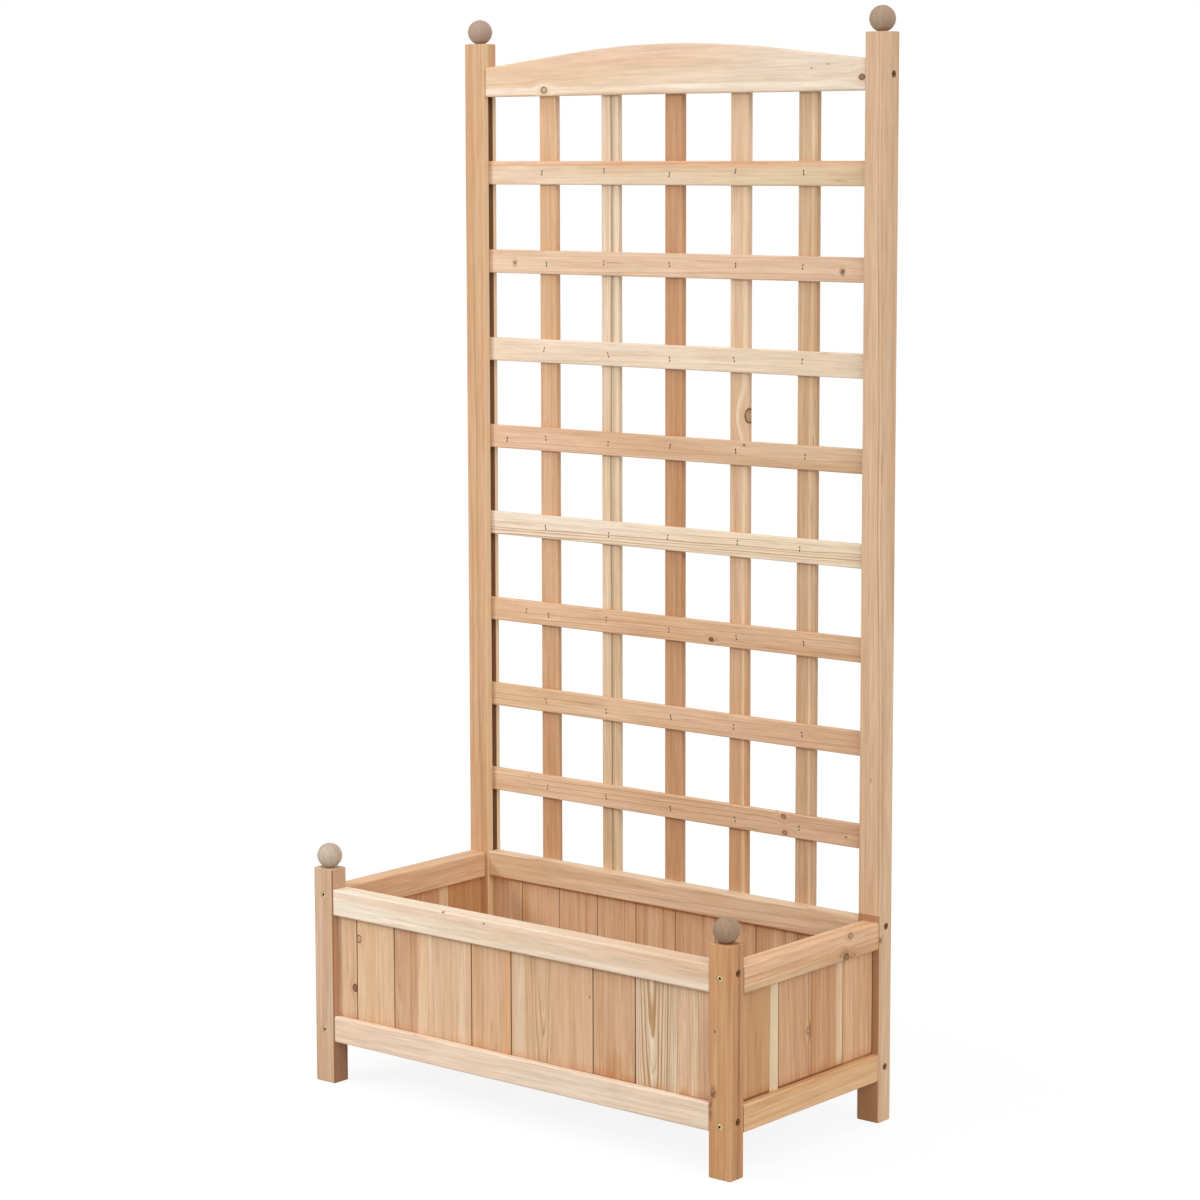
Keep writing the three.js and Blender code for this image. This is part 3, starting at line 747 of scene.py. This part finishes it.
RAILS = {
    "front_top_rail": dict(pith=(34, 20), lines=0.25, streaks=0.45, ring=6,
                           stripes=[("Z", 209, 5, "f0dfca", 0.4), ("Z", 228, 4, "dfb99b", 0.45)],
                           knots=[(-104.3, -148, 233.5, 1.3, 0.2), (-42, None, 229.7, 0.9, 0.2)]),
    "front_bottom_rail": dict(pith=(48, 26), streaks=0.4, lines=0.45, ring=3.0),
    "back_top_rail": dict(pith=(40, 30)),
    "back_bottom_rail": dict(pith=(52, 30)),
    "right_top_rail": dict(pith=(30, 24), lines=0.8, ring=7, wander=8,
                           washes=[(None, -50, 206, 5, 116, "f0d9b6", 0.85)],
                           knots=[(None, 70.8, 228.5, 3.0, 1.0), (None, 63, 205, 4.0, 0.3)],
                           smudges=[(None, 60, 209, 4, 9, 0.7), (None, 74, 205, 3, 7, 0.6)],
                           patches=[rail_end_shadow(200, 231.5)]),
    "right_bottom_rail": dict(pith=(46, 30), lines=0.5, ring=5, patches=[rail_end_shadow(47, 81)]),
    "left_top_rail": dict(pith=(36, 28)),
    "left_bottom_rail": dict(pith=(50, 26)),
}
for rail_name, notes in RAILS.items():
    lengthwise = "X" if rail_name.startswith(("front", "back")) else "Y"
    dress(rail_name, lengthwise, lean=(0.15, 0.25), **notes)
print("rails dressed:", len(RAILS))

# %% [markdown]
# ## Boards
#
# The walls are tongue-and-groove boards, upright in the grooves of the rails. Each is its own
# plank: some plain, one with close wavy lines, one with cream and brown stripes. Their feet are
# stained where damp and glue rose from the rail below. A joint shows as a thin dark line of
# painted shade in its gap, strong where the tongue was not pushed home. Where it was, the line is
# painted pale: painted light that cancels the shade of the groove, so its edges look as pale as the
# face.

# %% Front boards
JOINT_HALF = 0.75
# painted shade in the gap of a joint, and painted light that cancels the shade of a closed one
JOINT_PAINTED_SHADE, JOINT_PAINTED_LIGHT = "5d3a20", "f2d9bb"
FIRST_JOINT = -249.8
BOARD_PITCH = 60.2
JOINT_STRENGTHS = (0.8, 0.8, -0.6, 0.85, 0.9, -0.5, 0.85, 0.9, -0.7)  # from the left
FRONT_JOINTS = [(FIRST_JOINT + BOARD_PITCH * k, s) for k, s in enumerate(JOINT_STRENGTHS)]


def joint_line(axis, middle, strength):
    """The line of one joint: painted shade, or painted light where its strength is below 0."""
    reach = [None, None, None]
    reach["XYZ".index(axis)] = (middle - JOINT_HALF, middle + JOINT_HALF)
    return (reach, JOINT_PAINTED_SHADE, strength) if strength > 0 else (reach, JOINT_PAINTED_LIGHT, -strength)


def joint_lines(axis, joints, number):
    """The lines at the two edges of a board, which is counted from 1 along its wall."""
    return [joint_line(axis, *joints[k]) for k in (number - 2, number - 1) if 0 <= k < len(joints)]


FRONT_BOARDS = [
    dict(pith=(46, 30), foot=0.5, streaks=0.55, knots=[(-253.4, None, 119.0, 3.6, 0.1)],
         # a painted shadow of the left front post along the left edge of the board
         washes=[(-278, None, 140, 3, 60, "b98a60", 0.5)]),
    dict(pith=(60, 35), lines=0.4, foot=0.35, streaks=0.55, knots=[(-246.0, None, 179.0, 3.6, 1.0)]),
    dict(pith=(-22, 12), lean=(0.4, 0.8), ring=5, foot=0.5, streaks=0.9,
         stripes=[("X", -163, 1.0, "a06a44", 0.6), ("X", -140, 11, "e8ccab", 0.8)]),
    dict(pith=(50, 28), lines=0.55, ring=3.0, foot=0.45, streaks=0.6,
         stripes=[("X", -79, 9, "e3c7a6", 0.5)]),
    dict(pith=(70, 40), lines=0.7, ring=4, foot=0.5, stripes=[("X", -14, 4, "dfa36a", 0.5)]),
    dict(pith=(14, 6), lean=(0.2, 1.0), lines=2.0, ring=2.6, wander=7, fade=(15, 32), foot=0.45,
         streaks=0.5, stripes=[("X", 2, 9, "dcc2a6", 0.5)]),
    dict(pith=(66, 40), lines=0.45, foot=0.6, streaks=0.6,
         smudges=[(106.8, None, 167.8, 1.1, 1.8, 0.9)]),
    dict(pith=(40, 26), lines=0.8, ring=3.4, streaks=0.9, foot=0.95,
         washes=[(142, None, 92, 16, 24, "c08552", 0.45)]),
    dict(pith=(-8, 6), lean=(0.1, 1.15), lines=2.0, ring=2.9, wander=5, foot=0.4, streaks=0.5,
         stripes=[("X", 194, 2.2, "e9dac2", 0.55), ("X", 205, 1.0, "96683f", 0.65),
                  ("X", 218, 1.4, "9c6e45", 0.6), ("X", 229, 1.4, "e2cdac", 0.4)]),
    dict(pith=(50, 30), lines=1.0, ring=4.0, foot=0.95, stripes=[("X", 255, 5.5, "ead8bc", 0.75)]),
]
for number, notes in enumerate(FRONT_BOARDS, 1):
    dress(f"front_board_{number}", "Z", patches=joint_lines("X", FRONT_JOINTS, number), **notes)
print("front boards dressed:", len(FRONT_BOARDS))

# %% Side boards, their narrow filler strips and the back wall
SIDE_JOINTS = ((-67.2, 0.3), (-51.5, 0.8), (8.7, 0.25), (68.9, 0.5))
# painted shade in the corner where the last board meets the rear post
LAST_EDGE_SHADE = ((None, (124.6, 127), None), JOINT_PAINTED_SHADE, 0.8)  # where the wall meets the rear post
RIGHT_ONLY = ("knots", "smudges", "stripes")
BACK_STRENGTH = 0.7
SIDE_BOARDS = [
    dict(pith=(44, 28), lines=0.4, streaks=0.6, foot=0.8),
    dict(pith=(60, 30), lines=0.25, streaks=0.4, smudges=[(None, -64.1, 79.0, 1.2, 1.5, 0.9)]),
    dict(pith=(26, 12), lean=(0.3, 0.9), lines=0.65, ring=4.5, streaks=0.35, foot=0.8,
         knots=[(None, 2.8, 132.9, 3.0, 1.0)], stripes=[("Y", 2.6, 0.8, "80502e", 0.7)]),
    dict(pith=(40, 30), lines=0.5, foot=0.8, stripes=[("Y", 61, 7, "e2c8a3", 0.8)]),
    dict(pith=(50, 30), foot=0.5),
]
for side in ("right", "left"):
    for number, notes in enumerate(SIDE_BOARDS, 1):
        kept = {k: v for k, v in notes.items() if side == "right" or k not in RIGHT_ONLY}
        edges = joint_lines("Y", SIDE_JOINTS, number)
        if number == len(SIDE_BOARDS):
            edges.append(LAST_EDGE_SHADE)
        shade_name = f"right_board_{number}"
        dress(f"{side}_board_{number}", "Z", shade_name, face="side", patches=edges, **kept)
back_joints = [joint_line("X", -middle, BACK_STRENGTH) for middle, strength in FRONT_JOINTS]
dress("back_panel", "Z", pith=(80, 30), ring=5, foot=0.4, patches=back_joints)
print("wood dressed so far:", len(DRESSED))

# %% [markdown]
# ## Floor of the box
#
# Five boards run from front to back on two cleats, with gaps that let water out. Nobody looks at
# them, so the duller planks go here.

# %% Floor of the box
for number in range(1, 6):
    dress(f"floor_board_{number}", "Y", "floor_boards", pith=(38 + 6 * number, 24), gloss=0.64)
for end in ("front", "back"):
    dress("floor_cleat_" + end, "X", "floor_cleats", pith=(40, 20), gloss=0.64)
print("floor pieces dressed: 7")

# %% [markdown]
# ## Arch and slats
#
# The arched rail is the palest piece of all, with a salmon cloud over its upper part. The slats
# go from cream to reddish brown, and one upright carries a long grey-brown streak.

# %% Arch and slats
dress("arch_rail", "X", pith=(60, 26), lean=(0.2, 0.3), lines=0.3, streaks=0.5, ring=7, wander=9,
      stripes=[("Z", 1169, 4, "f4e6d2", 0.5)], washes=[(-40, None, 1206, 14, 170, "dfb090", 0.35)],
      knots=[(-186.1, None, 1168.3, 3.6, 1.0), (274.6, None, 1175.9, 3.2, 0.2)],
      smudges=[(228, None, 1191, 1.0, 1.6, 0.7), (206, None, 1187, 0.9, 1.5, 0.7)])

CROSS_SLATS = [  # from the bottom up
    dict(knots=[(167.6, None, 335, 2.6, 0.5), (169.4, None, 316, 2.6, 0.5)],
         smudges=[(-221.6, None, 334.8, 1, 1.4, 0.9), (255.5, None, 322.2, 1, 1.4, 0.9)]),
    dict(),
    dict(knots=[(61.7, None, 531.1, 2.5, 0.0)], smudges=[(66, None, 531, 2.0, 8, 0.5)]),
    dict(lines=2.2, ring=3.6, streaks=0.3, wander=2, fade=(50, 66)),
    dict(knots=[(108.8, None, 761.1, 1.2, 0.2)]),
    dict(lines=0.4, streaks=0.6),
    dict(knots=[(-239.1, None, 963.3, 1.4, 0.2), (245.4, None, 962.2, 1.6, 0.2)],
         smudges=[(-239.1, None, 963.3, 6, 4, 0.5), (245.4, None, 962.2, 5.5, 4, 0.65)]),
    dict(ring=6, stripes=[("Z", 1081, 4, "e3ab84", 0.65)]),
]
for number, notes in enumerate(CROSS_SLATS, 1):
    notes.setdefault("ring", 3.2)
    dress(f"cross_slat_{number}", "X", pith=(34 + 3 * number, 22), lean=(0.1, 0.2), **notes)

UPRIGHT_SLATS = [  # from left to right
    dict(),
    dict(stripes=[("X", -93.5, 2.0, "8a7350", 0.75), ("X", -90, 0.7, "7d6544", 0.5)]),
    dict(lines=0.9, smudges=[(15.0, None, 624.7, 2.2, 3.5, 0.8)]),
    dict(stripes=[("X", 104, 3, "ecd2ac", 0.45)], knots=[(111, None, 794, 6.5, 0.7)]),
    dict(stripes=[("X", 199, 2.6, "e6cba6", 0.5)]),
]
for number, notes in enumerate(UPRIGHT_SLATS, 1):
    dress(f"upright_slat_{number}", "Z", pith=(30 + 5 * number, 24), lean=(0.06, 0.1), **notes)
print("all wood dressed:", len(DRESSED), "left out:", sorted(set(WOOD) - set(DRESSED)))

# %% [markdown]
# ## Screws
#
# Countersunk wood screws hold the rails in the posts. One is modelled well and then copied: a
# cylinder is drawn out into the cone of the head and the shank, the rim is eased, and a cross
# with a pointed well in its middle is cut into it with booleans. It is built pointing upwards,
# with its head at the origin. At the front the heads lie nearly flush, at the sides deeper.

# %% One screw
SCREW_LENGTH = 19 * MM
HEAD_RADIUS = 3.75 * MM
SHANK_RADIUS = 1.9 * MM
RIM = 0.3 * MM
RIM_BEVEL = 0.25 * MM
CONE = 1.8 * MM
TIP = 3 * MM
TIP_SHRINK = 0.15
BAR_SIZE = (4.5 * MM, 1.35 * MM, 3.4 * MM)
BAR_SHRINK = 0.45
BAR_SINK = 0.5 * MM
WELL = {"radius1": 0.35 * MM, "radius2": 1.75 * MM, "depth": 2.9 * MM}
WELL_SINK = 1.05 * MM


def deselect():
    if bpy.context.object and bpy.context.object.mode == "EDIT":
        bpy.ops.object.mode_set(mode="OBJECT")
    bpy.ops.object.select_all(action="DESELECT")


def pick_faces(piece, test):
    """In edit mode, selects the faces whose middle and normal pass the test."""
    bpy.ops.object.mode_set(mode="OBJECT")
    mesh = piece.data
    for vertex in mesh.vertices:
        vertex.select = False
    for edge in mesh.edges:
        edge.select = False
    for polygon in mesh.polygons:
        polygon.select = test(polygon.center, polygon.normal)
    bpy.ops.object.mode_set(mode="EDIT")
    bpy.ops.mesh.select_mode(type="FACE")


def apply_modifier(piece, kind, **settings):
    modifier = piece.modifiers.new(kind.lower(), kind)
    for key, value in settings.items():
        setattr(modifier, key, value)
    bpy.context.view_layer.objects.active = piece
    bpy.ops.object.modifier_apply(modifier=modifier.name)


def cross_cutters():
    """Two crossed bars that taper towards the tip of the driver, and the well in the middle."""
    cutters = []
    for turn in (0, math.pi / 2):
        deselect()
        bpy.ops.mesh.primitive_cube_add(size=1, location=(0, 0, -BAR_SINK))
        bar = bpy.context.object
        bar.scale = BAR_SIZE
        bar.rotation_euler = (0, 0, turn)
        bpy.ops.object.transform_apply(location=True, rotation=True, scale=True)
        bpy.ops.object.mode_set(mode="EDIT")
        pick_faces(bar, lambda centre, normal: normal.z < -0.9)
        bpy.ops.transform.resize(value=(BAR_SHRINK, BAR_SHRINK, 1))
        deselect()
        cutters.append(bar)
    bpy.ops.mesh.primitive_cone_add(vertices=14, location=(0, 0, -WELL_SINK), **WELL)
    cutters.append(bpy.context.object)
    bpy.ops.object.transform_apply(location=True, rotation=True, scale=True)
    return cutters


def screw_model():
    """The rim, the cone, the shank and the tip, each drawn out of the one before, and the cross."""
    deselect()
    rim_middle = (0, 0, -RIM / 2)
    bpy.ops.mesh.primitive_cylinder_add(vertices=28, radius=HEAD_RADIUS, depth=RIM, location=rim_middle)
    piece = bpy.context.object
    bpy.ops.object.transform_apply(location=True, rotation=True, scale=True)
    bpy.ops.object.mode_set(mode="EDIT")
    pick_faces(piece, lambda centre, normal: normal.z < -0.9)
    shank = SCREW_LENGTH - RIM - CONE - TIP
    for length, shrink in ((CONE, SHANK_RADIUS / HEAD_RADIUS), (shank, 1), (TIP, TIP_SHRINK)):
        bpy.ops.mesh.extrude_region_move(TRANSFORM_OT_translate={"value": (0, 0, -length)})
        bpy.ops.transform.resize(value=(shrink, shrink, 1))
    pick_faces(piece, lambda centre, normal: normal.z > 0.9)
    bpy.ops.mesh.bevel(offset=RIM_BEVEL, segments=2, affect="EDGES")
    deselect()
    for bar in cross_cutters():
        apply_modifier(piece, "BOOLEAN", object=bar, operation="DIFFERENCE", solver="EXACT")
        bpy.data.objects.remove(bar)
    deselect()
    piece.select_set(True)
    bpy.context.view_layer.objects.active = piece
    bpy.ops.object.shade_smooth_by_angle(angle=math.radians(30))
    return piece


pattern_screw = screw_model()
screw_size = [round(d / MM, 1) for d in pattern_screw.dimensions]
print("screw faces:", len(pattern_screw.data.polygons), "size in mm:", screw_size)

# %% [markdown]
# ## Plated steel
#
# The screws are plated a pale yellow, bright on the rim, with the recess painted almost black as
# painted shade; the deep ones at the sides are painted darker and browner, as painted shade of
# the holes they sit in. The staples are thinner wire, some dulled and some nearly black, with a
# dark bruise where each leg went in. Small clouds in the colour and the roughness keep the metal
# from looking like plastic.

# %% Metal finishes
PLATING_SCALE = 900
PITTED = 0.05 * MM


def plated(name, bright, dull, roughness, metallic):
    """A metal, a painted shade such as the screw's recess, or the bruised wood beside a staple, with
    small clouds from bright to dull.
    """
    material, tree, shader = new_material(name)
    place = node(tree, "TexCoord").outputs["Object"]
    patch = cloud(tree, place, PLATING_SCALE, 3, 0.6).outputs[0]
    bump = node(tree, "Bump", {"Height": patch, "Strength": 0.3, "Distance": PITTED})
    colour = mixed(tree, eased(tree, patch, 0.35, 0.65), linear(bright), linear(dull))
    plug(tree, shader.inputs["Base Color"], colour)
    plug(tree, shader.inputs["Roughness"], maths(tree, "MULTIPLY_ADD", patch, 0.25, roughness))
    plug(tree, shader.inputs["Normal"], bump.outputs[0])
    shader.inputs["Metallic"].default_value = metallic
    return material


SCREW_STEEL = plated("screw_steel", "e8d3a0", "b89a62", 0.28, 0.7)
# painted darker and browner for the shade of the deep holes that these heads sit in
SCREW_DEEP_SHADE = plated("screw_deep_shade", "a06a30", "3d2410", 0.42, 0.35)
SCREW_RECESS_SHADE = plated("screw_recess_shade", "1a130d", "0c0906", 0.75, 0.0)
STAPLE_PALE = plated("staple_pale", "cfc3b4", "a5988a", 0.4, 0.4)
STAPLE_DARK = plated("staple_dark", "4d3d31", "352820", 0.45, 0.4)
STAPLE_BRUISE = plated("staple_bruise", "2f1f14", "1a100a", 0.85, 0.0)
print("metals:", *(m.name for m in (SCREW_STEEL, SCREW_DEEP_SHADE, SCREW_RECESS_SHADE, STAPLE_PALE, STAPLE_DARK)))

# %% Mark the recess of the screw, painted dark for the shade in it
RECESS_RADIUS = 2.6 * MM
RECESS_TOP = -0.05 * MM
RECESS_END = -2.4 * MM

pattern_screw.data.materials.append(SCREW_STEEL)
pattern_screw.data.materials.append(SCREW_RECESS_SHADE)
for polygon in pattern_screw.data.polygons:
    x, y, z = polygon.center
    inside = math.hypot(x, y) < RECESS_RADIUS and RECESS_END < z < RECESS_TOP
    polygon.material_index = int(inside)
print("faces in the recess:", sum(p.material_index for p in pattern_screw.data.polygons))

# %% Place the screws
FLUSH_SINK = 0.38 * MM
DEEP_SINK = 1.35 * MM
DEEP_SCALE = 0.85


def copy_to(pattern, name, place, turn):
    """A copy with a mesh of its own, moved in the mesh, so that its object stays at the origin."""
    mesh = pattern.data.copy()
    mesh.transform(Matrix.Translation(place) @ turn)
    piece = bpy.data.objects.new(name, mesh)
    bpy.context.scene.collection.objects.link(piece)
    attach(piece, "root")
    return piece


driver_turns = random.Random("driver")
seats = list(screw_seats())
for number, (seat, outward) in enumerate(seats, 1):
    sink, size = (DEEP_SINK, DEEP_SCALE) if outward.x else (FLUSH_SINK, 1)
    aim = outward.to_track_quat("Z", "Y").to_matrix().to_4x4() @ Matrix.Scale(size, 4)
    spin = Matrix.Rotation(driver_turns.uniform(0, math.pi / 2), 4, "Z")
    piece = copy_to(pattern_screw, f"screw_{number:02d}", seat - outward * sink, aim @ spin)
    if outward.x:
        piece.data.materials[0] = SCREW_DEEP_SHADE
bpy.data.objects.remove(pattern_screw)
print("screws placed:", len(seats))

# %% [markdown]
# ## Staples
#
# Wire staples hold the slats at every crossing. Each crown stands upright, a little askew, and
# lies flush in the wood. A cube is drawn out to the crown, its ends are extruded back as legs,
# and a bevel makes the wire round. A flat disc under each end is the bruised wood.

# %% One staple
CROWN = 5.4 * MM
WIRE = 1.15 * MM
LEG = 2.6 * MM
WIRE_BEVEL = 0.22 * MM
BRUISE = 1.15 * MM
BRUISE_DEPTH = 0.3 * MM
BRUISE_SINK = 0.08 * MM


def staple_bruise(end):
    """A squashed disc round one leg of the staple."""
    deselect()
    middle = (0, end * (CROWN / 2 - WIRE * 0.6), WIRE / 2 - BRUISE_SINK)
    bpy.ops.mesh.primitive_cylinder_add(vertices=8, radius=BRUISE, depth=BRUISE_DEPTH, location=middle)
    disc = bpy.context.object
    disc.scale = (0.8, 1.25, 1)
    bpy.ops.object.transform_apply(location=True, rotation=True, scale=True)
    bpy.ops.object.mode_set(mode="EDIT")
    pick_faces(disc, lambda centre, normal: normal.z > 0.9)
    bpy.ops.transform.resize(value=(0.8, 0.8, 1))
    deselect()
    disc.data.materials.append(STAPLE_BRUISE)
    return disc


def staple_model():
    deselect()
    bpy.ops.mesh.primitive_cube_add(size=1)
    piece = bpy.context.object
    piece.scale = (WIRE, CROWN - 2 * WIRE, WIRE)
    bpy.ops.object.transform_apply(location=True, rotation=True, scale=True)
    bpy.ops.object.mode_set(mode="EDIT")
    for end in (-1, 1):
        pick_faces(piece, lambda centre, normal, end=end: normal.y * end > 0.9)
        bpy.ops.mesh.extrude_region_move(TRANSFORM_OT_translate={"value": (0, end * WIRE, 0)})
        pick_faces(piece, lambda c, n, end=end: n.z < -0.9 and c.y * end > CROWN / 2 - WIRE)
        bpy.ops.mesh.extrude_region_move(TRANSFORM_OT_translate={"value": (0, 0, -LEG)})
    deselect()
    apply_modifier(piece, "BEVEL", width=WIRE_BEVEL, segments=1, limit_method="ANGLE")
    piece.data.materials.append(STAPLE_PALE)
    for disc in (staple_bruise(-1), staple_bruise(1)):
        disc.select_set(True)
        piece.select_set(True)
        bpy.context.view_layer.objects.active = piece
        bpy.ops.object.join()
    deselect()
    piece.select_set(True)
    bpy.ops.object.shade_smooth_by_angle(angle=math.radians(50))
    return piece


pattern_staple = staple_model()
print("staple faces:", len(pattern_staple.data.polygons))

# %% Place the staples
STAPLE_PROUD = 0.1 * MM
DARK_SHARE = 0.4
ROWS, COLUMNS = 8, 5
FORWARD = Vector((0, -1, 0)).to_track_quat("Z", "Y").to_matrix().to_4x4()
SLAT_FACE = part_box("cross_slat_1")[0].y
STRAY_STAPLES = {"staple_stray_low": (-0.2237, 0.5399), "staple_stray_high": (-0.2533, 0.7481)}
askew = random.Random("staple gun")


def drive_staple(name, x, z):
    """Sets one staple in the face of a cross slat, a little askew, bright or dark."""
    place = Vector((x, SLAT_FACE + WIRE / 2 - STAPLE_PROUD, z))
    tilt = Matrix.Rotation(askew.uniform(-0.3, 0.3), 4, "Z")
    piece = copy_to(pattern_staple, name, place, FORWARD @ tilt)
    if askew.random() < DARK_SHARE:
        piece.data.materials[0] = STAPLE_DARK


def near_crossing(slat_name, upright_name):
    """A point near the middle of a crossing, never quite the same."""
    lo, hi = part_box(slat_name)
    left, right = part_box(upright_name)
    x = (left.x + right.x) / 2 + askew.uniform(-4, 4) * MM
    return x, (lo.z + hi.z) / 2 + askew.uniform(-3, 3) * MM


for row in range(1, ROWS + 1):
    for column in range(1, COLUMNS + 1):
        spot = near_crossing(f"cross_slat_{row}", f"upright_slat_{column}")
        drive_staple(f"staple_{row}_{column}", *spot)
for name, spot in STRAY_STAPLES.items():
    drive_staple(name, *spot)
bpy.data.objects.remove(pattern_staple)
print("staples placed:", ROWS * COLUMNS + len(STRAY_STAPLES), "on the face at", round(SLAT_FACE, 4))

# %% [markdown]
# ## Last step
#
# The box of the dressed object is put next to the CAD model's, so that the two can be
# compared.

# %% Sizes and finish
boxes = {"cad": CAD_BOX, "scene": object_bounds()}
{key: [list(corner) for corner in box] for key, box in boxes.items()}
